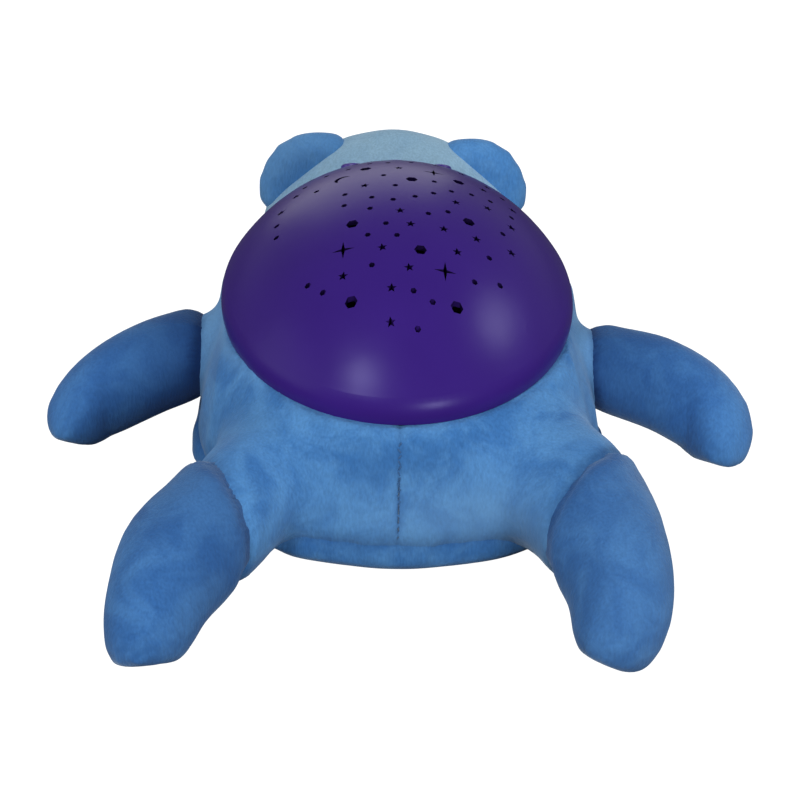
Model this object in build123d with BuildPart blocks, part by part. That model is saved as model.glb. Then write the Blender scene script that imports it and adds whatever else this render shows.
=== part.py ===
"""A plush night light projector: a stuffed animal lying on its belly with a starry dome on its back.

Millimetres. The toy lies on the table at z = 0, +Z up, its head towards +Y and its tail end
towards -Y. The origin is on the table below the middle of the dome, which is also the middle of
the whole toy. The dome, its tub and everything in them are one rigid module, and the stuffed
pieces are sewn round it.
"""

import os
from math import asin, atan2, cos, degrees, hypot, pi, radians, sin, sqrt
from random import Random

from build123d import *

# Dome: an oval moulding with a turned-in rim
DOME_WIDTH = 170.0
DOME_LENGTH = 208.0
DOME_HEIGHT = 58.0
DOME_WALL = 2.4
RIM_RADIUS = 16.0
RIM_TUCK = 4.0
RIM_Z = 76.0

# Holes that throw the stars: the large ones set out by eye, the small ones scattered between them,
# with a plain patch left on one side
PLANETS = ((-22, -65), (25, -66), (9, -40), (32, -14), (-22, -21), (6, 18), (-16, 37), (29, 26))
SPARKLES = ((-26, -37), (20, -50), (17, 32))
MOON = (-27, 26)
STAR_COUNT = 26
DOT_COUNT = 46
STAR_SEED = 11
STAR_TRIES = 60
STAR_TILT = 14.0
STAR_ROOM = 6.0
STAR_FIELD_WIDTH = 116.0
STAR_FIELD_LENGTH = 160.0
PLAIN_X = -43.0
PLAIN_Y = -14.0
PLAIN_WIDTH = 26.0
PLAIN_LENGTH = 68.0
DOT_RADIUS = 1.45
STAR_RADIUS = 2.4
STAR_WAIST = 1.05
SPARKLE_RADIUS = 5.2
SPARKLE_WAIST = 1.1
PLANET_RADIUS = 2.9
MOON_RADIUS = 4.0
MOON_BITE = 1.6

# Base tub: a flanged pan with a tower that reaches down to the belly
FLANGE_THICK = 2.6
FLANGE_WIDTH = 9.5
TUB_WALL = 2.2
PAN_DEPTH = 20.0
TOWER_WIDTH = 84.0
TOWER_LENGTH = 68.0
TOWER_CORNER = 8.0
TOWER_Z = 6.0

# Cells and their bay
CELL_COUNT = 3
CELL_DIAMETER = 10.5
CELL_LENGTH = 44.5
CELL_PITCH = 11.6
CELL_NUB_RADIUS = 1.9
CELL_NUB_LENGTH = 0.8
BAY_END_ROOM = 3.2
CONTACT_THICK = 0.5
CONTACT_HEIGHT = 8.4
CONTACT_LEAF_RADIUS = 2.2
CONTACT_GAP = 1.0
CONTACT_CORNER = 1.0

# Cell door, hinged on two stub pins and held by one captive screw
DOOR_THICK = 2.0
DOOR_LAP = 2.6
DOOR_CORNER = 2.0
SCREW_LAND = 11.0
BARREL_RADIUS = 1.6
PIN_RADIUS = 1.0
PIN_LENGTH = 1.6
DOOR_BOSS_RADIUS = 4.0
DOOR_BOSS_HEIGHT = 2.0
DOOR_SCREW_RADIUS = 1.4
DOOR_SCREW_HEAD = 2.7
DOOR_SCREW_HEAD_HEIGHT = 1.4
DOOR_SCREW_REACH = 3.4
DOOR_SCREW_ROOM = 0.6
DOOR_SCREW_SLOT = 3.8
DOOR_SCREW_SLOT_WIDTH = 0.7

# Housing screws, clamp ring and the fabric lip that the ring grips
LIP_THICK = 2.0
RING_THICK = 3.0
RING_INSET = 1.5
SCREW_RADIUS = 1.4
SCREW_HEAD_RADIUS = 2.9
SCREW_HEAD_HEIGHT = 1.8
SCREW_GRIP = 10.0
SCREW_ANGLE = 38.0
BOSS_RADIUS = 3.4

# Deck, lamp post and lamps
DECK_THICK = 2.0
DECK_POST_RADIUS = 4.0
DECK_POST_X = 47.0
DECK_POST_Y = 50.0
DECK_SCREW_LENGTH = 9.0
LEAD_HOLE_RADIUS = 5.0
LAMP_POST_HEIGHT = 14.0
LAMP_POST_RADIUS = 8.0
LAMP_POST_FOOT = 15.0
LAMP_POST_BORE = 4.0
LAMP_POST_PLATE = 2.0
SPIGOT_RADIUS = 9.0
LED_BOARD_RADIUS = 14.0
BOARD_THICK = 1.6
LED_RADIUS = 2.5
LED_COLLAR = 2.9
LED_COLLAR_HEIGHT = 1.0
LED_BODY_HEIGHT = 3.2
LED_TIP_FLAT = 0.25
LED_RING = 7.0

# Buttons on the head side of the dome and the switch board behind them
BUTTON_RING = 0.84
BUTTON_PITCH = 22.0
BUTTON_RADIUS = 6.5
BUTTON_PROUD = 2.2
BUTTON_EDGE = 0.9
BUTTON_STOP = 1.5
BUTTON_STOP_HEIGHT = 1.4
BUTTON_TRAVEL = 1.2
STEM_RADIUS = 2.4
GUIDE_WALL = 1.8
GUIDE_LENGTH = 7.0
BOARD_LIFT = 0.6
BOARD_WIDTH = 72.0
BOARD_LENGTH = 20.0
BOARD_RIB = 3.0
SWITCH_SIDE = 6.0
SWITCH_HEIGHT = 3.4
PLUNGER_RADIUS = 1.7
PLUNGER_HEIGHT = 1.0
CHIP_LENGTH = 9.0
CHIP_WIDTH = 4.0
CHIP_HEIGHT = 1.5
CHIP_X = 11.0

# Stuffed torso: how far it swells past the dome, and its belly seam and opening
TORSO_SIDE = 15.0
TORSO_END = 18.0
TORSO_COLLAR = 1.0
SEAM_Z = 20.0
HEM_WIDTH = 3.0
HEM_ROOM = 3.0
HEM_Z = 1.0
OPENING_CORNER = 5.0

# Head, ears and face
HEAD_GAP = 32.0
HEAD_HEIGHT = 96.0
HEAD_HALF_WIDTH = 72.0
HEAD_HALF_DEPTH = 46.0
EAR_RADIUS = 27.0
EAR_HALF_THICK = 8.0
EAR_OUT = 0.64
EAR_UP = 0.71
EAR_FORWARD = 3.0
MUZZLE_Z = 33.0
MUZZLE_HALF_WIDTH = 32.0
MUZZLE_HALF_HEIGHT = 22.0
MUZZLE_PROUD = 13.0
NOSE_HALF_WIDTH = 9.0
NOSE_HALF_HEIGHT = 6.0
NOSE_PROUD = 2.4
NOSE_LIFT = 9.0
EYE_RADIUS = 6.0
EYE_OUT = 0.34
EYE_UP = 0.585
EYE_SET = 0.75

# Arms and legs
ARM_RADIUS = 21.5
ARM_TIP_RADIUS = 10.0
LEG_RADIUS = 26.5
LEG_SOLE_RADIUS = 14.0
SHOULDER_INSET = 28.0
SHOULDER_Z = 46.0
SHOULDER_LEFT_Y = 11.0
SHOULDER_RIGHT_Y = 2.0
HIP_INSET = 42.0
HIP_FORWARD = 46.0
HIP_Z = 40.0

# How far the body's panels run out over the roots of the limbs before the limbs are sewn on
SHOULDER_COVER = 13.0
HIP_COVER_LEFT = 22.0
HIP_COVER_RIGHT = 14.0
HIP_COVER_END = 47.0

# Clearances: a sliding or turning fit, a seated fit and a stop at rest
FIT = 0.3
SEAT = 0.2
REST_GAP = 0.1


# Dome profile, worked out once for the outer and the inner surface: a crown arc about a centre on
# the axis, tangent to the arc of the rim, which turns in below its widest place.
half_width = DOME_WIDTH / 2
half_length = DOME_LENGTH / 2
rim_x = half_width - RIM_RADIUS
rim_rise = DOME_HEIGHT - RIM_TUCK
crown_radius = (rim_x**2 + rim_rise**2 - RIM_RADIUS**2) / (2 * (rim_rise - RIM_RADIUS))
crown_z = DOME_HEIGHT - crown_radius
join_angle = degrees(atan2(RIM_TUCK - crown_z, rim_x))
outer_stretch = half_length / half_width
inner_stretch = (half_length - DOME_WALL) / (half_width - DOME_WALL)


def dome_solid(inset, stretch):
    """The dome as a solid, its surface moved in by a wall."""
    low = degrees(asin(RIM_TUCK / (RIM_RADIUS - inset)))
    foot_x = rim_x + (RIM_RADIUS - inset) * cos(radians(low))
    with BuildPart() as form:
        with BuildSketch(Plane((0, 0, RIM_Z), x_dir=(1, 0, 0), z_dir=(0, -1, 0))):
            with BuildLine():
                CenterArc((0, crown_z), crown_radius - inset, join_angle, 90 - join_angle)
                CenterArc((rim_x, RIM_TUCK), RIM_RADIUS - inset, -low, join_angle + low)
                Line((0, DOME_HEIGHT - inset), (0, 0))
                Line((0, 0), (foot_x, 0))
            make_face()
        revolve(axis=Axis.Z)
        scale(by=(1, stretch, 1), about=(0, 0, 0))
    return form.part


def oval(plane, half_across, half_deep):
    """A closed oval of four quarter arcs on a plane."""
    with BuildSketch(plane) as section:
        with BuildLine():
            for start in (0, 90, 180, 270):
                EllipticalCenterArc((0, 0), half_across, half_deep, start_angle=start, arc_size=90)
        make_face()
    return section.sketch


def ovals_up(stations):
    """Level ovals stacked upwards: (height, middle y, half width, half length) each."""
    return [oval(Plane((0, y, z)), across, along) for z, y, across, along in stations]


def ovals_along(points, stations):
    """Ovals square to a centre line: (share of its length, half width, half depth) each."""
    line = Spline(*points)
    sections = []
    for share, across, deep in stations:
        heading = line % share
        level = Vector(0, 0, 1).cross(heading)
        sections.append(oval(Plane(line @ share, x_dir=level, z_dir=heading), across, deep))
    return sections


# The oval levels that the tub, ring and deck share
lip_radius = RIM_RADIUS - DOME_WALL
rim_inner = rim_x + sqrt(lip_radius**2 - RIM_TUCK**2)
flange_a = rim_inner - FIT
flange_b = rim_inner * inner_stretch - FIT
pan_a = flange_a - FLANGE_WIDTH
pan_b = flange_b - FLANGE_WIDTH
flange_top = RIM_Z + FLANGE_THICK
pan_floor = RIM_Z - PAN_DEPTH
ring_top = RIM_Z - LIP_THICK
ring_bottom = ring_top - RING_THICK
deck_top = flange_top + DECK_THICK
screw_a = (pan_a + flange_a) / 2
screw_b = (pan_b + flange_b) / 2
screw_places = [
    (side * screw_a * cos(radians(SCREW_ANGLE)), end * screw_b * sin(radians(SCREW_ANGLE)))
    for side in (-1, 1)
    for end in (-1, 1)
]
deck_a = screw_a - BOSS_RADIUS - FIT
deck_b = screw_b - BOSS_RADIUS - FIT

# The bay, its door and the hinge line
bay_length = CELL_LENGTH + 2 * BAY_END_ROOM
bay_width = CELL_COUNT * CELL_PITCH
door_top = TOWER_Z + DOOR_THICK
cell_z = door_top + SEAT + CELL_DIAMETER / 2
bay_top = cell_z + CELL_DIAMETER / 2 + SEAT
door_length = bay_length + 2 * DOOR_LAP
hinge_y = bay_width / 2 + DOOR_LAP + BARREL_RADIUS
hinge_z = TOWER_Z + BARREL_RADIUS
tower_floor = hinge_z + BARREL_RADIUS + FIT + TUB_WALL
door_end_y = -(bay_width / 2 + SCREW_LAND)
door_screw_y = door_end_y + SCREW_LAND / 2
cell_places = [(index - (CELL_COUNT - 1) / 2) * CELL_PITCH for index in range(CELL_COUNT)]

# The switch board stands on the deck, square to the middle button's axis, which is square to the
# dome there
button_x = BUTTON_RING * half_width
button_z = crown_z + sqrt(crown_radius**2 - button_x**2)
button_middle = Vector(0, button_x * outer_stretch, RIM_Z + button_z)
button_axis = Vector(0, button_x / outer_stretch, button_z - crown_z).normalized()
board_drop = button_middle.Z - deck_top - BOARD_LIFT - BOARD_LENGTH / 2 * button_axis.Y
board_depth = board_drop / button_axis.Z - BOARD_THICK
board_plane = Plane(button_middle - button_axis * board_depth, x_dir=(1, 0, 0), z_dir=button_axis)
button_spots = []
for button_offset in (-BUTTON_PITCH, 0.0, BUTTON_PITCH):
    button_y = outer_stretch * sqrt(button_x**2 - button_offset**2)
    spot = board_plane.to_local_coords(Vector(button_offset, button_y, RIM_Z + button_z))
    button_spots.append((spot.X, spot.Y, spot.Z))
guide_radius = BUTTON_RADIUS + FIT + GUIDE_WALL
switch_top = SWITCH_HEIGHT + PLUNGER_HEIGHT


# Dome: moulded shell with screw bosses, button guides and the star holes
dome_outer = dome_solid(0.0, outer_stretch)

with BuildPart() as dome_bosses:
    with BuildSketch(Plane.XY.offset(flange_top)):
        with Locations(*screw_places):
            Circle(BOSS_RADIUS)
    extrude(amount=DOME_HEIGHT)
    for guide_u, guide_v, guide_w in button_spots:
        with BuildSketch(board_plane.offset(guide_w - GUIDE_LENGTH)):
            with Locations((guide_u, guide_v)):
                Circle(guide_radius)
        extrude(amount=2 * GUIDE_LENGTH)
    add(dome_outer, mode=Mode.INTERSECT)


def star_points(points, tip, waist):
    """The corners of a star, tips and waists in turn."""
    corners = []
    for step in range(2 * points):
        reach = waist if step % 2 else tip
        corners.append((reach * sin(pi * step / points), reach * cos(pi * step / points)))
    return corners


guide_spots = [board_plane.from_local_coords(Vector(*spot)) for spot in button_spots]
taken = [(spot.X, spot.Y, guide_radius) for spot in guide_spots]
taken += [(x, y, PLANET_RADIUS) for x, y in PLANETS]
taken += [(x, y, SPARKLE_RADIUS) for x, y in SPARKLES]
taken.append((*MOON, MOON_RADIUS))
scatter = Random(STAR_SEED)


def scattered(count, radius):
    """Places for small holes, clear of each other, of the large ones, the guides and the plain patch."""
    places = []
    for _ in range(count * STAR_TRIES):
        turn = scatter.uniform(0, 2 * pi)
        spread = sqrt(scatter.random()) / 2
        x = spread * STAR_FIELD_WIDTH * cos(turn)
        y = spread * STAR_FIELD_LENGTH * sin(turn)
        plain = abs(x - PLAIN_X) < PLAIN_WIDTH / 2 and abs(y - PLAIN_Y) < PLAIN_LENGTH / 2
        clear = all(hypot(x - u, y - v) > radius + reach + STAR_ROOM for u, v, reach in taken)
        if clear and not plain and len(places) < count:
            places.append(Location((x, y, 0), (0, 0, scatter.uniform(-STAR_TILT, STAR_TILT))))
            taken.append((x, y, radius))
    return places


with BuildSketch(Plane.XY.offset(RIM_Z)) as star_field:
    with Locations(*PLANETS):
        RegularPolygon(PLANET_RADIUS, 6)
    with Locations(*SPARKLES):
        Polygon(*star_points(4, SPARKLE_RADIUS, SPARKLE_WAIST))
    with Locations(*scattered(STAR_COUNT, STAR_RADIUS)):
        Polygon(*star_points(5, STAR_RADIUS, STAR_WAIST))
    with Locations(*scattered(DOT_COUNT, DOT_RADIUS)):
        RegularPolygon(DOT_RADIUS, 6)
    with BuildSketch(mode=Mode.PRIVATE) as moon:
        Circle(MOON_RADIUS)
        with Locations((MOON_BITE, -MOON_BITE)):
            Circle(MOON_RADIUS, mode=Mode.SUBTRACT)
    with Locations(MOON):
        add(moon.sketch)

with BuildPart() as dome:
    add(dome_outer)
    add(dome_solid(DOME_WALL, inner_stretch), mode=Mode.SUBTRACT)
    add(dome_bosses.part)
    with BuildSketch(Plane.XY.offset(flange_top)):
        with Locations(*screw_places):
            Circle(SCREW_RADIUS + REST_GAP)
    extrude(amount=SCREW_GRIP + FIT, mode=Mode.SUBTRACT)
    for guide_u, guide_v, guide_w in button_spots:
        with BuildSketch(board_plane.offset(guide_w - GUIDE_LENGTH)):
            with Locations((guide_u, guide_v)):
                Circle(BUTTON_RADIUS + FIT)
        extrude(amount=2 * GUIDE_LENGTH, mode=Mode.SUBTRACT)
    extrude(star_field.sketch, amount=DOME_HEIGHT, clean=False, mode=Mode.SUBTRACT)

# Base tub: flange, pan and tower in one moulding, open at the top, with the cell bay below
with BuildPart() as base_tub:
    with BuildSketch(Plane.XY.offset(pan_floor)):
        Ellipse(pan_a, pan_b)
    extrude(amount=RIM_Z - pan_floor)
    with BuildSketch(Plane.XY.offset(RIM_Z)):
        Ellipse(flange_a, flange_b)
    extrude(amount=FLANGE_THICK)
    with BuildSketch(Plane.XY.offset(TOWER_Z)):
        RectangleRounded(TOWER_WIDTH, TOWER_LENGTH, TOWER_CORNER)
    extrude(amount=pan_floor - TOWER_Z)
    with BuildSketch(Plane.XY.offset(pan_floor + TUB_WALL)):
        Ellipse(pan_a - TUB_WALL, pan_b - TUB_WALL)
    extrude(amount=flange_top - pan_floor, mode=Mode.SUBTRACT)
    with BuildSketch(Plane.XY.offset(tower_floor)):
        RectangleRounded(TOWER_WIDTH - 2 * TUB_WALL, TOWER_LENGTH - 2 * TUB_WALL, TOWER_CORNER - TUB_WALL)
    extrude(amount=flange_top - tower_floor, mode=Mode.SUBTRACT)
    with BuildSketch(Plane.XY.offset(tower_floor)):
        Rectangle(bay_length + 2 * TUB_WALL, bay_width + 2 * TUB_WALL)
        with Locations((0, door_screw_y)):
            Circle(DOOR_SCREW_RADIUS + DOOR_SCREW_ROOM + TUB_WALL)
    extrude(amount=bay_top + TUB_WALL - tower_floor)
    with BuildSketch(Plane.XY.offset(pan_floor)):
        with GridLocations(2 * DECK_POST_X, 2 * DECK_POST_Y, 2, 2):
            Circle(DECK_POST_RADIUS)
    extrude(amount=flange_top - pan_floor)
    with BuildSketch(Plane.XY.offset(flange_top)):
        with GridLocations(2 * DECK_POST_X, 2 * DECK_POST_Y, 2, 2):
            Circle(SCREW_RADIUS + REST_GAP)
    extrude(amount=-DECK_SCREW_LENGTH, mode=Mode.SUBTRACT)
    with BuildSketch(Plane.XY.offset(RIM_Z)):
        with Locations(*screw_places):
            Circle(SCREW_RADIUS + FIT)
    extrude(amount=FLANGE_THICK, mode=Mode.SUBTRACT)
    with BuildSketch(Plane.XY.offset(TOWER_Z)):
        Rectangle(bay_length, bay_width)
    extrude(amount=bay_top - TOWER_Z, mode=Mode.SUBTRACT)
    with BuildSketch(Plane.XY.offset(TOWER_Z)):
        with Locations((0, (door_end_y + hinge_y) / 2)):
            RectangleRounded(door_length + 2 * FIT, hinge_y - door_end_y + 2 * FIT, DOOR_CORNER)
    extrude(amount=DOOR_THICK + SEAT, mode=Mode.SUBTRACT)
    with BuildSketch(Plane.XY.offset(TOWER_Z)):
        with Locations((0, hinge_y)):
            Rectangle(door_length + 2 * FIT, 2 * (BARREL_RADIUS + FIT))
    extrude(amount=2 * BARREL_RADIUS + FIT, mode=Mode.SUBTRACT)
    with BuildSketch(Plane.YZ):
        with Locations((hinge_y, hinge_z)):
            Circle(PIN_RADIUS + SEAT)
    extrude(amount=door_length / 2 + PIN_LENGTH + FIT, both=True, mode=Mode.SUBTRACT)
    with BuildSketch(Plane.XY.offset(TOWER_Z)):
        with Locations((0, door_screw_y)):
            Circle(DOOR_BOSS_RADIUS + DOOR_SCREW_ROOM)
    extrude(amount=DOOR_THICK + DOOR_BOSS_HEIGHT + FIT, mode=Mode.SUBTRACT)
    with BuildSketch(Plane.XY.offset(TOWER_Z)):
        with Locations((0, door_screw_y)):
            Circle(DOOR_SCREW_RADIUS + DOOR_SCREW_ROOM)
    extrude(
        amount=DOOR_THICK + DOOR_BOSS_HEIGHT + DOOR_SCREW_REACH + FIT,
        mode=Mode.SUBTRACT,
    )

# Cell door: a plate with a hinge barrel and stub pins, and a boss for its captive screw
with BuildPart() as battery_door:
    with BuildSketch(Plane.XY.offset(TOWER_Z)):
        with Locations((0, (door_end_y + hinge_y) / 2)):
            RectangleRounded(door_length, hinge_y - door_end_y, DOOR_CORNER)
    extrude(amount=DOOR_THICK)
    with BuildSketch(Plane.YZ):
        with Locations((hinge_y, hinge_z)):
            Rectangle(3 * BARREL_RADIUS, 3 * BARREL_RADIUS, align=(Align.MIN, Align.CENTER))
    extrude(amount=door_length, both=True, mode=Mode.SUBTRACT)
    with BuildSketch(Plane.YZ):
        with Locations((hinge_y, hinge_z)):
            Circle(BARREL_RADIUS)
    extrude(amount=door_length / 2, both=True)
    with BuildSketch(Plane.YZ):
        with Locations((hinge_y, hinge_z)):
            Circle(PIN_RADIUS)
    extrude(amount=door_length / 2 + PIN_LENGTH, both=True)
    with BuildSketch(Plane.XY.offset(door_top)):
        with Locations((0, door_screw_y)):
            Circle(DOOR_BOSS_RADIUS)
    extrude(amount=DOOR_BOSS_HEIGHT)
    with Locations(Location((0, door_screw_y, TOWER_Z), (180, 0, 0))):
        CounterBoreHole(
            DOOR_SCREW_RADIUS + REST_GAP, DOOR_SCREW_HEAD + REST_GAP, DOOR_SCREW_HEAD_HEIGHT + REST_GAP
        )

# Captive screw of the door, its head sunk in the door's outer face
with BuildPart() as door_screw:
    with BuildSketch(Plane.XY.offset(TOWER_Z + REST_GAP)):
        with Locations((0, door_screw_y)):
            Circle(DOOR_SCREW_HEAD)
    extrude(amount=DOOR_SCREW_HEAD_HEIGHT)
    with BuildSketch(Plane.XY.offset(TOWER_Z + REST_GAP)):
        with Locations((0, door_screw_y)):
            Circle(DOOR_SCREW_RADIUS)
    extrude(amount=DOOR_THICK + DOOR_BOSS_HEIGHT + DOOR_SCREW_REACH - REST_GAP)
    with BuildSketch(Plane.XY.offset(TOWER_Z)):
        with Locations((0, door_screw_y)):
            Rectangle(DOOR_SCREW_SLOT, DOOR_SCREW_SLOT_WIDTH)
            Rectangle(DOOR_SCREW_SLOT_WIDTH, DOOR_SCREW_SLOT)
    extrude(amount=DOOR_SCREW_HEAD_HEIGHT / 2 + REST_GAP, mode=Mode.SUBTRACT)

# Three small cells side by side, every other one turned round
with BuildPart() as battery_cells:
    for index, cell_y in enumerate(cell_places):
        facing = 1 if index % 2 else -1
        body_end = CELL_LENGTH / 2 - CELL_NUB_LENGTH
        with BuildSketch(Plane((-facing * CELL_LENGTH / 2, cell_y, cell_z), z_dir=(facing, 0, 0))):
            Circle(CELL_DIAMETER / 2)
        extrude(amount=CELL_LENGTH - CELL_NUB_LENGTH)
        with BuildSketch(Plane((facing * body_end, cell_y, cell_z), z_dir=(facing, 0, 0))):
            Circle(CELL_NUB_RADIUS)
        extrude(amount=CELL_NUB_LENGTH)

# Contact plates at both ends of the bay, with a leaf to each cell; pairs join the cells in series
contact_groups = (
    (-1, cell_places[:1]),
    (-1, cell_places[1:]),
    (1, cell_places[:-1]),
    (1, cell_places[-1:]),
)

with BuildPart() as battery_contacts:
    for end, served in contact_groups:
        plate_x = end * bay_length / 2
        plate_y = sum(served) / len(served)
        plate_width = served[-1] - served[0] + CELL_PITCH - CONTACT_GAP
        with BuildSketch(Plane((plate_x, plate_y, cell_z), x_dir=(0, 1, 0), z_dir=(-end, 0, 0))):
            RectangleRounded(plate_width, CONTACT_HEIGHT, CONTACT_CORNER)
        extrude(amount=CONTACT_THICK)
        for cell_y in served:
            with BuildSketch(Plane((plate_x, cell_y, cell_z), z_dir=(-end, 0, 0))):
                Circle(CONTACT_LEAF_RADIUS)
            extrude(amount=BAY_END_ROOM - SEAT)

# Clamp ring that grips the fabric lip under the flange
with BuildPart() as clamp_ring:
    with BuildSketch(Plane.XY.offset(ring_bottom)):
        Ellipse(flange_a - RING_INSET, flange_b - RING_INSET)
        Ellipse(pan_a + SEAT, pan_b + SEAT, mode=Mode.SUBTRACT)
        with Locations(*screw_places):
            Circle(SCREW_RADIUS + FIT, mode=Mode.SUBTRACT)
    extrude(amount=RING_THICK)

# Screws up through ring, lip and flange into the dome's bosses
with BuildPart() as housing_screws:
    with BuildSketch(Plane.XY.offset(ring_bottom)):
        with Locations(*screw_places):
            Circle(SCREW_RADIUS)
    extrude(amount=flange_top - ring_bottom + SCREW_GRIP)
    with BuildSketch(Plane.XY.offset(ring_bottom)):
        with Locations(*screw_places):
            Circle(SCREW_HEAD_RADIUS)
    extrude(amount=-SCREW_HEAD_HEIGHT)

# Deck: the dark plate under the dome, with ribs that carry the switch board
board_low = board_plane.offset(-BOARD_THICK)
rib_low_end = board_low.from_local_coords(Vector(0, BOARD_LENGTH / 2, 0))
rib_high_end = board_low.from_local_coords(Vector(0, -BOARD_LENGTH / 2, 0))

with BuildPart() as deck:
    with BuildSketch(Plane.XY.offset(flange_top)):
        Ellipse(deck_a, deck_b)
        Circle(SPIGOT_RADIUS + SEAT, mode=Mode.SUBTRACT)
        with GridLocations(2 * DECK_POST_X, 2 * DECK_POST_Y, 2, 2):
            Circle(SCREW_RADIUS + FIT, mode=Mode.SUBTRACT)
        with Locations((0, (SPIGOT_RADIUS + rib_high_end.Y) / 2)):
            Circle(LEAD_HOLE_RADIUS, mode=Mode.SUBTRACT)
    extrude(amount=DECK_THICK)
    for side in (-1, 1):
        rib_x = side * (BOARD_WIDTH - BOARD_RIB) / 2
        with BuildSketch(Plane((rib_x, 0, 0), x_dir=(0, 1, 0), z_dir=(1, 0, 0))):
            Polygon(
                (rib_low_end.Y, deck_top - DECK_THICK / 2),
                (rib_high_end.Y, deck_top - DECK_THICK / 2),
                (rib_high_end.Y, rib_high_end.Z),
                (rib_low_end.Y, rib_low_end.Z),
                align=None,
            )
        extrude(amount=BOARD_RIB / 2, both=True)

# Screws that hold the deck to the tub's posts
with BuildPart() as deck_screws:
    with BuildSketch(Plane.XY.offset(deck_top)):
        with GridLocations(2 * DECK_POST_X, 2 * DECK_POST_Y, 2, 2):
            Circle(SCREW_RADIUS)
    extrude(amount=-(DECK_SCREW_LENGTH - FIT))
    with BuildSketch(Plane.XY.offset(deck_top)):
        with GridLocations(2 * DECK_POST_X, 2 * DECK_POST_Y, 2, 2):
            Circle(SCREW_HEAD_RADIUS)
    extrude(amount=SCREW_HEAD_HEIGHT)

# Lamp post: a turned pillar with a spigot in the deck and a bore for the leads
post_top = deck_top + LAMP_POST_HEIGHT

with BuildPart() as lamp_post:
    with BuildSketch(Plane.XZ):
        with BuildLine():
            Polyline(
                (LAMP_POST_BORE, flange_top),
                (SPIGOT_RADIUS, flange_top),
                (SPIGOT_RADIUS, deck_top),
                (LAMP_POST_FOOT, deck_top),
                (LAMP_POST_FOOT, deck_top + LAMP_POST_PLATE),
                (LAMP_POST_RADIUS, deck_top + 2 * LAMP_POST_PLATE),
                (LAMP_POST_RADIUS, post_top - 2 * LAMP_POST_PLATE),
                (LED_BOARD_RADIUS, post_top - LAMP_POST_PLATE),
                (LED_BOARD_RADIUS, post_top),
                (LAMP_POST_BORE, post_top),
                close=True,
            )
        make_face()
    revolve(axis=Axis.Z)

# Round lamp board and its three lamps
led_top = post_top + BOARD_THICK

with BuildPart() as led_board:
    with BuildSketch(Plane.XY.offset(post_top)):
        Circle(LED_BOARD_RADIUS)
    extrude(amount=BOARD_THICK)

lamps = []
for lamp_turn in (90, 210, 330):
    lamp_x = LED_RING * cos(radians(lamp_turn))
    lamp_y = LED_RING * sin(radians(lamp_turn))
    with BuildPart() as lamp:
        with BuildSketch(Plane((lamp_x, lamp_y, led_top))):
            Circle(LED_COLLAR)
        extrude(amount=LED_COLLAR_HEIGHT)
        with BuildSketch(Plane((lamp_x, lamp_y, led_top + LED_COLLAR_HEIGHT))):
            Circle(LED_RADIUS)
        extrude(amount=LED_BODY_HEIGHT)
        fillet(lamp.faces().sort_by(Axis.Z)[-1].edges(), LED_RADIUS - LED_TIP_FLAT)
    lamps.append(lamp)
led_blue, led_green, led_amber = lamps

# Switch board with its three switches and controller
with BuildPart() as control_board:
    with BuildSketch(board_plane):
        RectangleRounded(BOARD_WIDTH, BOARD_LENGTH, BOARD_RIB / 2)
    extrude(amount=-BOARD_THICK)

with BuildPart() as tact_switches:
    for switch_u, switch_v, switch_w in button_spots:
        with BuildSketch(board_plane):
            with Locations((switch_u, switch_v)):
                Rectangle(SWITCH_SIDE, SWITCH_SIDE)
        extrude(amount=SWITCH_HEIGHT)
        with BuildSketch(board_plane.offset(SWITCH_HEIGHT)):
            with Locations((switch_u, switch_v)):
                Circle(PLUNGER_RADIUS)
        extrude(amount=PLUNGER_HEIGHT)

with BuildPart() as controller_chip:
    with BuildSketch(board_plane):
        with Locations((CHIP_X, 0)):
            Rectangle(CHIP_WIDTH, CHIP_LENGTH)
    extrude(amount=CHIP_HEIGHT)

# Push buttons: a domed cap, a stop under its guide and a stem to its switch
buttons = []
for button_u, button_v, button_w in button_spots:
    stop_top = button_w - GUIDE_LENGTH - REST_GAP
    stem_end = switch_top + BUTTON_TRAVEL + REST_GAP
    with BuildPart() as button:
        with BuildSketch(board_plane.offset(stop_top)):
            with Locations((button_u, button_v)):
                Circle(BUTTON_RADIUS)
        extrude(amount=GUIDE_LENGTH + REST_GAP + BUTTON_PROUD)
        top_face = button.faces().sort_by(Axis((0, 0, 0), button_axis))[-1]
        fillet(top_face.edges(), BUTTON_EDGE)
        with BuildSketch(board_plane.offset(stop_top)):
            with Locations((button_u, button_v)):
                Circle(BUTTON_RADIUS + BUTTON_STOP)
        extrude(amount=-BUTTON_STOP_HEIGHT)
        with BuildSketch(board_plane.offset(stem_end)):
            with Locations((button_u, button_v)):
                Circle(STEM_RADIUS)
        extrude(amount=stop_top - BUTTON_STOP_HEIGHT - stem_end)
    buttons.append(button)
button_colour, button_power, button_timer = buttons

# Stuffed torso: level ovals that swell from the flat belly to the seam and draw in to the dome, each
# set in from the widest one by an inset at the sides and one at the ends
torso_a = half_width + TORSO_SIDE
torso_b = half_length + TORSO_END
torso_shape = (
    (0.00 * SEAM_Z, 20.0, 21.0),
    (0.25 * SEAM_Z, 8.0, 9.0),
    (0.55 * SEAM_Z, 2.5, 3.0),
    (SEAM_Z, 0.0, 0.0),
    (0.52 * RIM_Z, 1.0, 3.5),
    (0.78 * RIM_Z, 5.5, 9.0),
    (RIM_Z, TORSO_SIDE - TORSO_COLLAR, TORSO_END - TORSO_COLLAR),
)


def torso_loft(past_side, past_end):
    """The torso's form, swollen past its own sides and ends by so much."""
    half_across = torso_a + past_side
    half_along = torso_b + past_end
    with BuildPart() as form:
        loft(ovals_up([(z, 0, half_across - side, half_along - end) for z, side, end in torso_shape]))
    return form.part


torso_form = torso_loft(0.0, 0.0)

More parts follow.
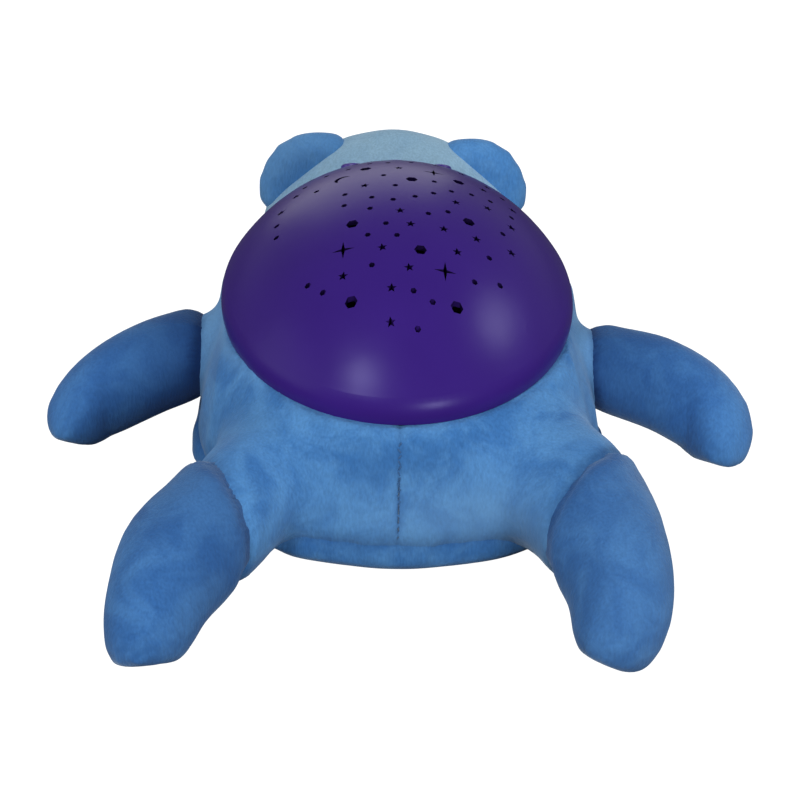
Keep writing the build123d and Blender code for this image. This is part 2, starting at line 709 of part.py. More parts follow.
# Arms: stuffed tubes from the shoulders out, back and down to a blunt paw on the table. Each lies
# as it fell, so the two centre lines differ.
arm_swell = ((0.0, 1.0), (0.3, 1.0), (0.55, 0.98), (0.76, 0.92), (0.88, 0.81), (0.96, 0.64))
arm_stations = [(share, swell * ARM_RADIUS, swell * ARM_RADIUS) for share, swell in arm_swell]
arm_stations.append((1.0, ARM_TIP_RADIUS, ARM_TIP_RADIUS))
shoulder_left = Vector(SHOULDER_INSET - torso_a, SHOULDER_LEFT_Y, SHOULDER_Z)
shoulder_right = Vector(torso_a - SHOULDER_INSET, SHOULDER_RIGHT_Y, SHOULDER_Z)
arm_left_steps = ((0, 0, 0), (-37, -20, -2), (-68, -39, -12), (-86, -52, -27))
arm_right_steps = ((0, 0, 0), (40, -19, -2), (73, -38, -11), (85, -54, -28))

with BuildPart() as arm_left:
    loft(ovals_along([shoulder_left + Vector(*step) for step in arm_left_steps], arm_stations))

with BuildPart() as arm_right:
    loft(ovals_along([shoulder_right + Vector(*step) for step in arm_right_steps], arm_stations))

# Legs: thicker tubes from the hips out, back and down to a flat sole, also as they fell
leg_swell = ((0.0, 1.0), (0.25, 1.02), (0.5, 1.0), (0.72, 0.95), (0.87, 0.85), (0.95, 0.73))
leg_stations = [(share, swell * LEG_RADIUS, swell * LEG_RADIUS) for share, swell in leg_swell]
leg_stations.append((1.0, LEG_SOLE_RADIUS, LEG_SOLE_RADIUS))
hip_left = Vector(HIP_INSET - torso_a, HIP_FORWARD - torso_b, HIP_Z)
hip_right = Vector(torso_a - HIP_INSET, HIP_FORWARD - torso_b, HIP_Z)
leg_left_steps = ((0, 0, 0), (-23, -45, -1), (-41, -88, -10), (-43, -109, -27))
leg_right_steps = ((0, 0, 0), (25, -43, -1), (36, -85, -10), (31, -106, -27))

with BuildPart() as leg_left:
    loft(ovals_along([hip_left + Vector(*step) for step in leg_left_steps], leg_stations))

with BuildPart() as leg_right:
    loft(ovals_along([hip_right + Vector(*step) for step in leg_right_steps], leg_stations))

# The body's panels run out over the roots of the limbs, and each limb starts where its cover ends
limb_covers = (
    (arm_left, torso_loft(SHOULDER_COVER, SHOULDER_COVER)),
    (arm_right, torso_loft(SHOULDER_COVER, SHOULDER_COVER)),
    (leg_left, torso_loft(HIP_COVER_LEFT, HIP_COVER_END)),
    (leg_right, torso_loft(HIP_COVER_RIGHT, HIP_COVER_END)),
)
limb_roots = [limb.part & cover for limb, cover in limb_covers]
for limb, cover in limb_covers:
    with limb:
        add(cover, mode=Mode.SUBTRACT)

# The room that the module takes up inside the stuffing
opening_length = door_length + 2 * HEM_ROOM
opening_width = hinge_y + BARREL_RADIUS - door_end_y + 2 * HEM_ROOM
opening_y = (hinge_y + BARREL_RADIUS + door_end_y) / 2

with BuildPart() as module_room:
    with BuildSketch(Plane.XY.offset(pan_floor - SEAT)):
        Ellipse(pan_a + SEAT, pan_b + SEAT)
    extrude(amount=RIM_Z - pan_floor + SEAT)
    with BuildSketch(Plane.XY.offset(TOWER_Z)):
        RectangleRounded(TOWER_WIDTH + 2 * SEAT, TOWER_LENGTH + 2 * SEAT, TOWER_CORNER + SEAT)
    extrude(amount=pan_floor - TOWER_Z)
    with BuildSketch(Plane.XY.offset(ring_bottom - SCREW_HEAD_HEIGHT - SEAT)):
        Ellipse(flange_a - RING_INSET + SEAT, flange_b - RING_INSET + SEAT)
    extrude(amount=RING_THICK + SCREW_HEAD_HEIGHT + SEAT)
    with BuildSketch(Plane.XY.offset(ring_top)):
        with Locations(*screw_places):
            Circle(SCREW_RADIUS + FIT)
    extrude(amount=LIP_THICK)
    with BuildSketch(Plane.XY):
        with Locations((0, opening_y)):
            RectangleRounded(
                opening_length + 2 * HEM_WIDTH, opening_width + 2 * HEM_WIDTH, OPENING_CORNER + HEM_WIDTH
            )
    extrude(amount=TOWER_Z)

with BuildPart() as body_form:
    add(torso_form)
    for root in limb_roots:
        add(root)
    add(module_room.part, mode=Mode.SUBTRACT)

with BuildPart() as torso:
    add(body_form.part)
    split(bisect_by=Plane.XY.offset(SEAM_Z), keep=Keep.TOP)

with BuildPart() as belly_panel:
    add(body_form.part)
    split(bisect_by=Plane.XY.offset(SEAM_Z), keep=Keep.BOTTOM)

# Bound edge of the belly opening
with BuildPart() as belly_hem:
    with BuildSketch(Plane.XY.offset(HEM_Z)):
        with Locations((0, opening_y)):
            RectangleRounded(
                opening_length + 2 * HEM_WIDTH, opening_width + 2 * HEM_WIDTH, OPENING_CORNER + HEM_WIDTH
            )
            RectangleRounded(opening_length, opening_width, OPENING_CORNER, mode=Mode.SUBTRACT)
    extrude(amount=TOWER_Z - HEM_Z)

# Head: level ovals, wide at the cheeks and drawn in to the crown
head_y = half_length + HEAD_GAP
head_shape = [
    (0.00, 0.52, 0.55),
    (0.05, 0.70, 0.72),
    (0.14, 0.87, 0.88),
    (0.28, 0.98, 0.98),
    (0.42, 1.00, 1.00),
    (0.56, 0.94, 0.94),
    (0.70, 0.79, 0.80),
    (0.83, 0.60, 0.60),
    (0.93, 0.40, 0.39),
    (1.00, 0.14, 0.12),
]
head_stations = [
    (up * HEAD_HEIGHT, head_y, across * HEAD_HALF_WIDTH, along * HEAD_HALF_DEPTH)
    for up, across, along in head_shape
]

with BuildPart() as head_form:
    loft(ovals_up(head_stations))

with BuildPart() as head:
    add(head_form.part)
    add(torso_form, mode=Mode.SUBTRACT)

# Ears: round pads set on the upper sides of the head
ear_middle = Vector(-EAR_OUT * HEAD_HALF_WIDTH, head_y + EAR_FORWARD, EAR_UP * HEAD_HEIGHT)
ear_points = [ear_middle + Vector(0, step * EAR_HALF_THICK, 0) for step in (-1, 0, 1)]
ear_stations = [
    (share, swell * EAR_RADIUS, swell * EAR_RADIUS)
    for share, swell in ((0.0, 0.70), (0.14, 0.90), (0.5, 1.0), (0.86, 0.90), (1.0, 0.70))
]

with BuildPart() as ear_left:
    loft(ovals_along(ear_points, ear_stations))
    add(head_form.part, mode=Mode.SUBTRACT)

with BuildPart() as ear_right:
    mirror(ear_left.part, about=Plane.YZ)

# Muzzle, nose and eyes on the front of the face
face_y = head_y + HEAD_HALF_DEPTH
muzzle_points = [
    (0, head_y + HEAD_HALF_DEPTH / 2, MUZZLE_Z),
    (0, face_y, MUZZLE_Z),
    (0, face_y + MUZZLE_PROUD, MUZZLE_Z),
]
muzzle_stations = [
    (share, swell * MUZZLE_HALF_WIDTH, swell * MUZZLE_HALF_HEIGHT)
    for share, swell in ((0.0, 0.96), (0.4, 1.0), (0.66, 0.93), (0.84, 0.74), (0.95, 0.50), (1.0, 0.30))
]

with BuildPart() as muzzle_form:
    loft(ovals_along(muzzle_points, muzzle_stations))

with BuildPart() as muzzle:
    add(muzzle_form.part)
    add(head_form.part, mode=Mode.SUBTRACT)

nose_z = MUZZLE_Z + NOSE_LIFT
nose_points = [
    (0, face_y, nose_z),
    (0, face_y + MUZZLE_PROUD / 2, nose_z),
    (0, face_y + MUZZLE_PROUD + NOSE_PROUD, nose_z),
]
nose_stations = [
    (share, swell * NOSE_HALF_WIDTH, swell * NOSE_HALF_HEIGHT)
    for share, swell in ((0.0, 0.9), (0.6, 1.0), (0.85, 0.86), (0.95, 0.62), (1.0, 0.40))
]

with BuildPart() as nose:
    loft(ovals_along(nose_points, nose_stations))
    add(muzzle_form.part, mode=Mode.SUBTRACT)
    add(head_form.part, mode=Mode.SUBTRACT)

with BuildPart() as eye_left:
    with Locations((-EYE_OUT * HEAD_HALF_WIDTH, head_y + EYE_SET * HEAD_HALF_DEPTH, EYE_UP * HEAD_HEIGHT)):
        Sphere(EYE_RADIUS)
    add(head_form.part, mode=Mode.SUBTRACT)

with BuildPart() as eye_right:
    mirror(eye_left.part, about=Plane.YZ)

pieces = {
    "torso": torso,
    "belly_panel": belly_panel,
    "belly_hem": belly_hem,
    "head": head,
    "ear_left": ear_left,
    "ear_right": ear_right,
    "muzzle": muzzle,
    "nose": nose,
    "eye_left": eye_left,
    "eye_right": eye_right,
    "arm_left": arm_left,
    "arm_right": arm_right,
    "leg_left": leg_left,
    "leg_right": leg_right,
    "dome": dome,
    "base_tub": base_tub,
    "clamp_ring": clamp_ring,
    "housing_screws": housing_screws,
    "deck": deck,
    "deck_screws": deck_screws,
    "lamp_post": lamp_post,
    "led_board": led_board,
    "led_blue": led_blue,
    "led_green": led_green,
    "led_amber": led_amber,
    "control_board": control_board,
    "tact_switches": tact_switches,
    "controller_chip": controller_chip,
    "button_colour": button_colour,
    "button_power": button_power,
    "button_timer": button_timer,
    "battery_cells": battery_cells,
    "battery_contacts": battery_contacts,
    "battery_door": battery_door,
    "door_screw": door_screw,
}
os.makedirs("parts", exist_ok=True)
for name, piece in pieces.items():
    piece.part.label = name
    export_step(piece.part, f"parts/{name}.step")
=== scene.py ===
"""A plush night light projector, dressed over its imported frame: a stuffed blue animal lies on its
belly and carries a glossy purple dome full of star holes. Metres, in the frame's own axes."""

import math

import bmesh
import bpy
import numpy as np
from mathutils import Matrix, Vector, noise
from mathutils.bvhtree import BVHTree


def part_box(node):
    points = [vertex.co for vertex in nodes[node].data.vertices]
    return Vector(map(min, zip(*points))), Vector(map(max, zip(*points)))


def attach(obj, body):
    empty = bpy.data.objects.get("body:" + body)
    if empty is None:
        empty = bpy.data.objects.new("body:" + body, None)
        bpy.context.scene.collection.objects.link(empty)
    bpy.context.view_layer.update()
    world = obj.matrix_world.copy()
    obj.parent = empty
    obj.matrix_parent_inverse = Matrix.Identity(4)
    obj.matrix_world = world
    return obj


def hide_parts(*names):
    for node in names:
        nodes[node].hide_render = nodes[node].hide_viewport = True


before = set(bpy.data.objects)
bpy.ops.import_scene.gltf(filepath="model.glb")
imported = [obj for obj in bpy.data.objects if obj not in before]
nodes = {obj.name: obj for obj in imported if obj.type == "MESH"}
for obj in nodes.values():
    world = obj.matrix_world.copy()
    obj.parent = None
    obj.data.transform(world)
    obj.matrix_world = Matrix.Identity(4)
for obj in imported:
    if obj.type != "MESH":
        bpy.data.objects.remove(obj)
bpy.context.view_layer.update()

# Base tub, clamp ring and cell door: a flanged pan with a tower down to the belly, the ring that grips the
# fabric lip under its flange, and the door of the cell bay. All are injection moulded ABS with the fine
# grain of a spark-eroded tool, so they look dull and even, with a faint speckle in the gloss.
MM = 0.001
TUB_PURPLE = "#4a3789"
FLOW_CLOUD = 18 * MM
GRAIN_SIZE = 0.7 * MM


def linear(code):
    """An sRGB hex colour as the linear colour that a shader takes."""
    parts = [int(code[i:i + 2], 16) / 255 for i in (1, 3, 5)]
    return [p / 12.92 if p <= 0.04045 else ((p + 0.055) / 1.055) ** 2.4 for p in parts] + [1.0]


def add(material, kind, sockets=None, **settings):
    """Adds a shader node: settings are its properties, sockets its inputs, each a value or a link."""
    made = material.node_tree.nodes.new(kind)
    for key, value in settings.items():
        setattr(made, key, value)
    for key, value in (sockets or {}).items():
        if isinstance(value, bpy.types.NodeSocket):
            material.node_tree.links.new(value, made.inputs[key])
        else:
            made.inputs[key].default_value = value
    return made


def new_material(name):
    """An empty material with its output node, and the object coordinates that its patterns read."""
    material = bpy.data.materials.new(name)
    material.use_nodes = True
    material.node_tree.nodes.clear()
    place = add(material, "ShaderNodeTexCoord").outputs["Object"]
    return material, place


def moulded_abs(name, colour, roughness, grain):
    """Moulded ABS: an even colour with slight flow clouding, and a grain that breaks up the gloss."""
    material, place = new_material(name)
    clouds = add(material, "ShaderNodeTexNoise", {"Vector": place, "Scale": 1 / FLOW_CLOUD, "Detail": 2.0})
    tone = add(material, "ShaderNodeMapRange", {"Value": clouds.outputs[0], "To Min": 0.94, "To Max": 1.05})
    shade = add(
        material, "ShaderNodeMix", {0: 1.0, 6: linear(colour), 7: tone.outputs[0]},
        data_type="RGBA", blend_type="MULTIPLY",
    )
    speckle = add(material, "ShaderNodeTexNoise", {"Vector": place, "Scale": 1 / GRAIN_SIZE, "Detail": 2.0})
    bump = add(
        material, "ShaderNodeBump", {"Strength": 1.0, "Distance": grain, "Height": speckle.outputs[0]},
    )
    gloss = add(
        material, "ShaderNodeMapRange",
        {"Value": clouds.outputs[0], "To Min": roughness - 0.04, "To Max": roughness + 0.06},
    )
    shader = add(
        material, "ShaderNodeBsdfPrincipled",
        {"Base Color": shade.outputs[2], "Roughness": gloss.outputs[0], "Normal": bump.outputs[0],
         "IOR": 1.53},
    )
    add(material, "ShaderNodeOutputMaterial", {"Surface": shader.outputs[0]})
    return material


def finish_node(name, material):
    """Gives a node that stays as it was packed its finish."""
    nodes[name].data.materials.clear()
    nodes[name].data.materials.append(material)


tub_abs = moulded_abs("moulded_abs_tub", TUB_PURPLE, 0.5, 0.03 * MM)
for name in ("base_tub", "clamp_ring", "battery_door"):
    finish_node(name, tub_abs)

# Screws and contact plates: zinc-plated steel screws, and the nickel-plated spring-steel plates that are
# slid into slots of the cell bay. Both shine, with a faint grain from turning or rolling.
ZINC = "#9b9fa5"
NICKEL = "#b9b6ac"
TURNED_GRAIN = 0.35 * MM
TURNED_DEPTH = 0.02 * MM


def plated_steel(name, colour, roughness):
    """Plated steel: a metal whose gloss is broken by fine turned lines."""
    material, place = new_material(name)
    lines = add(material, "ShaderNodeTexNoise", {"Vector": place, "Scale": 1 / TURNED_GRAIN, "Detail": 3.0})
    gloss = add(
        material, "ShaderNodeMapRange",
        {"Value": lines.outputs[0], "To Min": roughness - 0.1, "To Max": roughness + 0.12},
    )
    bump = add(
        material, "ShaderNodeBump", {"Strength": 0.6, "Distance": TURNED_DEPTH, "Height": lines.outputs[0]},
    )
    shader = add(
        material, "ShaderNodeBsdfPrincipled",
        {"Base Color": linear(colour), "Metallic": 1.0, "Roughness": gloss.outputs[0],
         "Normal": bump.outputs[0]},
    )
    add(material, "ShaderNodeOutputMaterial", {"Surface": shader.outputs[0]})
    return material


zinc_steel = plated_steel("zinc_plated_steel", ZINC, 0.36)
for name in ("housing_screws", "deck_screws", "door_screw"):
    finish_node(name, zinc_steel)
finish_node("battery_contacts", plated_steel("nickel_plated_spring_steel", NICKEL, 0.28))

# Deck and lamp post: black ABS, so that the dome's holes look dark from outside. The deck is screwed
# to the tub's posts and the post stands in its middle.
DECK_BLACK = "#141219"
deck_abs = moulded_abs("moulded_abs_black", DECK_BLACK, 0.55, 0.04 * MM)
for name in ("deck", "lamp_post"):
    finish_node(name, deck_abs)

# Lamp board and switch board: glass-fibre laminate under green solder mask, with a faint weave. The
# switches and the controller are black moulded cases.
MASK_GREEN = "#1d5535"
MASK_DEEP = "#1a4d30"
MASK_PALE = "#236340"
CASE_BLACK = "#17181b"
WEAVE = 0.6 * MM
laminate, laminate_place = new_material("solder_masked_laminate")
weave = add(
    laminate, "ShaderNodeTexBrick",
    {"Vector": laminate_place, "Color1": linear(MASK_GREEN), "Color2": linear(MASK_DEEP),
     "Mortar": linear(MASK_PALE), "Scale": 1 / (4 * WEAVE), "Mortar Size": 0.03},
)
laminate_shader = add(
    laminate, "ShaderNodeBsdfPrincipled", {"Base Color": weave.outputs[0], "Roughness": 0.35, "IOR": 1.5},
)
add(laminate, "ShaderNodeOutputMaterial", {"Surface": laminate_shader.outputs[0]})
for name in ("led_board", "control_board"):
    finish_node(name, laminate)
case_black = moulded_abs("moulded_case_black", CASE_BLACK, 0.42, 0.01 * MM)
for name in ("tact_switches", "controller_chip"):
    finish_node(name, case_black)

# Lamps: three lamps cast in tinted epoxy and soldered to the lamp board. They are off in daylight, and look
# like clear sweets with a slight haze inside.
LAMP_TINTS = {"led_blue": "#6f9ff0", "led_green": "#7fdc9a", "led_amber": "#f2b862"}
EPOXY_HAZE = 1.5 * MM
for name, tint in LAMP_TINTS.items():
    epoxy, epoxy_place = new_material("tinted_epoxy_" + name)
    haze = add(epoxy, "ShaderNodeTexNoise", {"Vector": epoxy_place, "Scale": 1 / EPOXY_HAZE})
    clear = add(epoxy, "ShaderNodeMapRange", {"Value": haze.outputs[0], "To Min": 0.08, "To Max": 0.2})
    epoxy_shader = add(
        epoxy, "ShaderNodeBsdfPrincipled",
        {"Base Color": linear(tint), "Roughness": clear.outputs[0], "IOR": 1.55,
         "Transmission Weight": 0.7},
    )
    add(epoxy, "ShaderNodeOutputMaterial", {"Surface": epoxy_shader.outputs[0]})
    finish_node(name, epoxy)

# Cells: three small cells in plain shrink wrap, which lie side by side in the bay between their contacts.
# The wrap is drawn tight by heat, so it is glossy with a slight ripple.
WRAP_GRAPHITE = "#3b3f45"
finish_node("battery_cells", moulded_abs("shrink_wrap_graphite", WRAP_GRAPHITE, 0.25, 0.015 * MM))

# Buttons: three push caps of satin ABS, moulded in the dome's purple, a shade lighter. They slide in guides
# on the dome's head side and press the switches behind.
BUTTON_PURPLE = "#3f2787"
button_abs = moulded_abs("moulded_abs_button", BUTTON_PURPLE, 0.34, 0.012 * MM)
for name in ("button_colour", "button_power", "button_timer"):
    finish_node(name, button_abs)

# Dome: an oval shell of purple ABS with a polished outside, clamped to the tub by screws from below.
# Star-shaped holes are moulded through it; their walls are painted dark as painted shade. The polish is not
# quite a mirror: lamps show in it as soft patches, with a faint haze from handling.
DOME_PURPLE = "#331a72"
# Painted shade: the dark colour of the holes' walls.
WALL_SHADE_PURPLE = "#140a30"
GLINT_TINT = "#cfd0ff"
HAZE_SIZE = 24 * MM
RIPPLE_SIZE = 5 * MM
RIPPLE_DEPTH = 0.03 * MM
dome_low, dome_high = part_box("dome")
dome_abs, dome_place = new_material("polished_abs_purple")
haze = add(
    dome_abs, "ShaderNodeTexNoise", {"Vector": dome_place, "Scale": 1 / HAZE_SIZE, "Detail": 4.0},
)
haze_gloss = add(
    dome_abs, "ShaderNodeMapRange", {"Value": haze.outputs[0], "To Min": 0.28, "To Max": 0.37},
)
haze_tone = add(
    dome_abs, "ShaderNodeMapRange", {"Value": haze.outputs[0], "To Min": 0.93, "To Max": 1.07},
)
dome_shade = add(
    dome_abs, "ShaderNodeMix", {0: 1.0, 6: linear(DOME_PURPLE), 7: haze_tone.outputs[0]},
    data_type="RGBA", blend_type="MULTIPLY",
)
# A face that looks the oval's way is the outside; one that looks across it is a hole's wall, painted dark
# as painted shade.
oval = add(dome_abs, "ShaderNodeVectorMath", {0: dome_place, 1: (0, 0, -dome_low.z)}, operation="ADD")
oval_out = add(
    dome_abs, "ShaderNodeVectorMath",
    {0: oval.outputs[0], 1: (dome_high.x ** -2, dome_high.y ** -2, (dome_high.z - dome_low.z) ** -2)},
    operation="MULTIPLY",
)
oval_way = add(dome_abs, "ShaderNodeVectorMath", {0: oval_out.outputs[0]}, operation="NORMALIZE")
dome_face = add(dome_abs, "ShaderNodeTexCoord")
across = add(
    dome_abs, "ShaderNodeVectorMath", {0: oval_way.outputs[0], 1: dome_face.outputs["Normal"]},
    operation="DOT_PRODUCT",
)
outside = add(
    dome_abs, "ShaderNodeMapRange", {"Value": across.outputs["Value"], "From Min": 0.35, "From Max": 0.7},
)
dome_tone = add(
    dome_abs, "ShaderNodeMix",
    {0: outside.outputs[0], 6: linear(WALL_SHADE_PURPLE), 7: dome_shade.outputs[2]}, data_type="RGBA",
)
ripple = add(
    dome_abs, "ShaderNodeTexNoise", {"Vector": dome_place, "Scale": 1 / RIPPLE_SIZE, "Detail": 2.0},
)
ripple_bump = add(
    dome_abs, "ShaderNodeBump", {"Strength": 0.5, "Distance": RIPPLE_DEPTH, "Height": ripple.outputs[0]},
)
dome_shader = add(
    dome_abs, "ShaderNodeBsdfPrincipled",
    {"Base Color": dome_tone.outputs[2], "Roughness": haze_gloss.outputs[0],
     "Normal": ripple_bump.outputs[0], "IOR": 1.5, "Specular IOR Level": 0.19,
     "Specular Tint": linear(GLINT_TINT)},
)
add(dome_abs, "ShaderNodeOutputMaterial", {"Surface": dome_shader.outputs[0]})
finish_node("dome", dome_abs)

# Torso: the upper sleeve of short-pile plush, sewn up the middle of the back, drawn in under the
# dome's rim and stuffed with loose fibre. It swells between its seams. Brushing lays the pile one way
# or the other, which shows as soft lighter and darker patches, and its tips catch light at the edges.
VOXEL = 4 * MM
MERGE = 0.01 * MM
PRESSURE = 4.0
SETTLE_FRAMES = 20
END_REACH = 2.5 * MM
TUCK_SHRINK = 0.14
FILL_REACH = 28 * MM
FILL_EDGE = 1.6
SMOOTH_PULL = 0.5
SMOOTH_PUSH = 0.53
PLUSH_BLUE = "#3f75b0"
# Painted light: the pale blue that marked places are mixed towards.
PAINTED_LIGHT_BLUE = "#6c97bf"
# Painted shade: the dark blue that seams and shaded places are mixed towards.
SEAM_AND_SHADE_BLUE = "#1a3867"
TIP_SHEEN = "#c3d7e6"
PILE_WIDTH = 1.1 * MM
PILE_DEPTH = 0.5 * MM
NAP_PATCH = 26 * MM
torso_low, torso_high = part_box("torso")
seam_z = torso_low.z
rim_z = torso_high.z


def plush(name, colour, deep, pale):
    """Short-pile polyester plush: nap patches, fine pile streaks, a pale sheen, darker seams, painted shade
    and light.
    """
    material, place = new_material(name)
    patches = add(
        material, "ShaderNodeTexNoise",
        {"Vector": place, "Scale": 1 / NAP_PATCH, "Detail": 4.0, "Roughness": 0.6, "Distortion": 0.7},
    )
    nap = add(
        material, "ShaderNodeMapRange", {"Value": patches.outputs[0], "From Min": 0.34, "From Max": 0.68},
        interpolation_type="SMOOTHSTEP",
    )
    # The pile's lie, which stretches its streaks along the height.
    lie_and_root_shade = add(material, "ShaderNodeMapping", {"Vector": place, "Scale": (1.0, 1.0, 0.3)})
    pile = add(
        material, "ShaderNodeTexNoise", {"Vector": lie_and_root_shade.outputs[0], "Scale": 1 / PILE_WIDTH, "Detail": 3.0},
    )
    brushed = add(
        material, "ShaderNodeMix", {0: nap.outputs[0], 6: linear(deep), 7: linear(pale)}, data_type="RGBA",
    )
    even = add(
        material, "ShaderNodeMix", {0: 0.55, 6: linear(colour), 7: brushed.outputs[2]}, data_type="RGBA",
    )
    streak = add(
        material, "ShaderNodeMapRange",
        {"Value": pile.outputs[0], "From Min": 0.3, "From Max": 0.7, "To Min": 0.88, "To Max": 1.12},
    )
    piled = add(
        material, "ShaderNodeMix", {0: 1.0, 6: even.outputs[2], 7: streak.outputs[0]},
        data_type="RGBA", blend_type="MULTIPLY",
    )
    # Painted light where marked.
    painted_light = add(material, "ShaderNodeAttribute", attribute_name="painted_light")
    with_painted_light = add(
        material, "ShaderNodeMix", {0: painted_light.outputs["Fac"], 6: piled.outputs[2], 7: linear(PAINTED_LIGHT_BLUE)},
        data_type="RGBA",
    )
    # Seams and painted shade where marked.
    seam_and_shade = add(material, "ShaderNodeAttribute", attribute_name="seam_and_shade")
    seamed_and_shaded = add(
        material, "ShaderNodeMix", {0: seam_and_shade.outputs["Fac"], 6: with_painted_light.outputs[2], 7: linear(SEAM_AND_SHADE_BLUE)},
        data_type="RGBA",
    )
    rough = add(
        material, "ShaderNodeBump", {"Strength": 0.7, "Distance": PILE_DEPTH, "Height": pile.outputs[0]},
    )
    shader = add(
        material, "ShaderNodeBsdfPrincipled",
        {"Base Color": seamed_and_shaded.outputs[2], "Roughness": 0.95, "Normal": rough.outputs[0],
         "Sheen Weight": 0.35, "Sheen Roughness": 0.4, "Sheen Tint": linear(TIP_SHEEN),
         "Specular IOR Level": 0.15},
    )
    add(material, "ShaderNodeOutputMaterial", {"Surface": shader.outputs[0]})
    return material


def settle(piece):
    """Applies a piece's modifiers to its mesh."""
    bpy.context.view_layer.update()
    graph = bpy.context.evaluated_depsgraph_get()
    made = bpy.data.meshes.new_from_object(piece.evaluated_get(graph))
    piece.modifiers.clear()
    piece.data = made


def points(mesh):
    """A mesh's points, one row each."""
    rows = np.empty(len(mesh.vertices) * 3, np.float32)
    mesh.vertices.foreach_get("co", rows)
    return rows.reshape(-1, 3).astype(float)


def headings(mesh):
    """The outward direction at each point of a mesh."""
    rows = np.empty(len(mesh.vertices) * 3, np.float32)
    mesh.vertex_normals.foreach_get("vector", rows)
    return rows.reshape(-1, 3).astype(float)


def move_to(mesh, rows):
    """Puts a mesh's points where the rows say."""
    mesh.vertices.foreach_set("co", rows.astype(np.float32).ravel())
    mesh.update()


def inward_pull(mesh, rows):
    """The way from each point of a mesh to the middle of its neighbours."""
    pairs = np.empty(len(mesh.edges) * 2, np.int32)
    mesh.edges.foreach_get("vertices", pairs)
    one, other = pairs.reshape(-1, 2).T
    sums = np.zeros_like(rows)
    np.add.at(sums, one, rows[other])
    np.add.at(sums, other, rows[one])
    return sums / np.bincount(pairs, minlength=len(rows))[:, None] - rows


def smooth(mesh, times):
    """Evens out a mesh without shrinking it: each pull inwards is paid back by a push outwards."""
    rows = points(mesh)
    for _ in range(times):
        rows = rows + SMOOTH_PULL * inward_pull(mesh, rows)
        rows = rows - SMOOTH_PUSH * inward_pull(mesh, rows)
    move_to(mesh, rows)


def tree_of(*names):
    """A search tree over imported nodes."""
    corners = []
    faces = []
    for name in names:
        mesh = nodes[name].data
        first = len(corners)
        corners += [tuple(v.co) for v in mesh.vertices]
        faces += [tuple(first + i for i in p.vertices) for p in mesh.polygons]
    return BVHTree.FromPolygons(corners, faces)


def distance_to(tree, rows):
    """How far each point lies from what the tree holds."""
    return np.array([tree.find_nearest(Vector(row))[3] for row in rows])


def fill_creases(mesh, share, times):
    """Lifts hollow places outwards, as a stretched skin does, by each point's share."""
    for _ in range(times):
        rows = points(mesh)
        out = headings(mesh)
        lift = np.clip((inward_pull(mesh, rows) * out).sum(1), 0, None) * share
        move_to(mesh, rows + out * lift[:, None])


def stuffed(node, inset, reach, held_where, partners=(), tuck=0.0, fill=0):
    """A sewn skin blown up by its filling: the node's form remeshed, its held points kept on their seams.

    Each end that meets a group of partners is drawn in and tucked into them; creases there are filled."""
    piece = bpy.data.objects.new("plush_" + node, nodes[node].data.copy())
    bpy.context.scene.collection.objects.link(piece)
    form = bmesh.new()
    form.from_mesh(piece.data)
    bmesh.ops.remove_doubles(form, verts=form.verts, dist=MERGE)
    form.to_mesh(piece.data)
    form.free()
    skin = piece.modifiers.new("skin", "REMESH")
    skin.mode = "VOXEL"
    skin.voxel_size = VOXEL
    settle(piece)
    smooth(piece.data, 4)
    rows = points(piece.data)
    held = held_where(rows)
    gaps = [distance_to(tree_of(*group), rows) for group in partners]
    if fill:
        near = np.clip(FILL_EDGE - np.min(gaps, axis=0) / FILL_REACH, 0, 1)
        fill_creases(piece.data, near * ~held, fill)
        rows = points(piece.data)
    out = headings(piece.data)
    start = rows - out * inset * ~held[:, None]
    for gap in gaps:
        end = gap < END_REACH
        axis = out[end].mean(0)
        axis = axis / np.linalg.norm(axis)
        spoke = rows[end] - rows[end].mean(0)
        spoke = spoke - np.outer(spoke @ axis, axis)
        start[end] = rows[end] + axis * tuck - spoke * TUCK_SHRINK
        held = held | end
    move_to(piece.data, start)
    seams = piece.vertex_groups.new(name="seams")
    seams.add([int(i) for i in np.flatnonzero(held)], 1.0, "REPLACE")
    filling = piece.modifiers.new("filling", "CLOTH")
    filling.settings.use_pressure = True
    filling.settings.uniform_pressure_force = PRESSURE
    filling.settings.effector_weights.gravity = 0.0
    filling.settings.vertex_group_mass = "seams"
    for step in range(1, SETTLE_FRAMES + 1):
        bpy.context.scene.frame_set(step)
    graph = bpy.context.evaluated_depsgraph_get()
    blown = points(piece.evaluated_get(graph).data)
    piece.modifiers.clear()
    piece.vertex_groups.clear()
    bpy.context.scene.frame_set(1)
    move = blown - start
    length = np.linalg.norm(move, axis=1, keepdims=True)
    move_to(piece.data, start + move * np.minimum(1.0, reach / np.maximum(length, 1e-9)))
    smooth(piece.data, 3)
    rounder = piece.modifiers.new("rounder", "SUBSURF")
    rounder.levels = rounder.render_levels = 1
    settle(piece)
    piece.data.shade_smooth()
    return piece


def lumps(piece, size, depth):
    """Uneven filling: gentle swells and hollows over a stuffed piece."""
    rows = points(piece.data)
    push = np.array([noise.noise(Vector(row) / size) for row in rows])
    move_to(piece.data, rows + headings(piece.data) * (depth * push)[:, None])


def mark(piece, name, weight):
    """Keeps a weight at each point, which the plush reads: near a seam or in painted shade, or for painted
    light.
    """
    kept = piece.data.attributes.new(name, "FLOAT", "POINT")
    kept.data.foreach_set("value", np.clip(weight, 0, 1).astype(np.float32))


def dress(piece, node, material):
    """Hands a stuffed piece over to the frame in its node's place."""
    rows = points(piece.data)
    rows[:, 2] = np.maximum(rows[:, 2], 0)
    move_to(piece.data, rows)
    piece.data.materials.clear()
    piece.data.materials.append(material)
    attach(piece, "toy")
    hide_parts(node)


def fade(values, start, end):
    """A share that goes from 0 at the start to 1 at the end, which may lie on either side of it."""
    return np.clip((values - start) / (end - start), 0, 1)


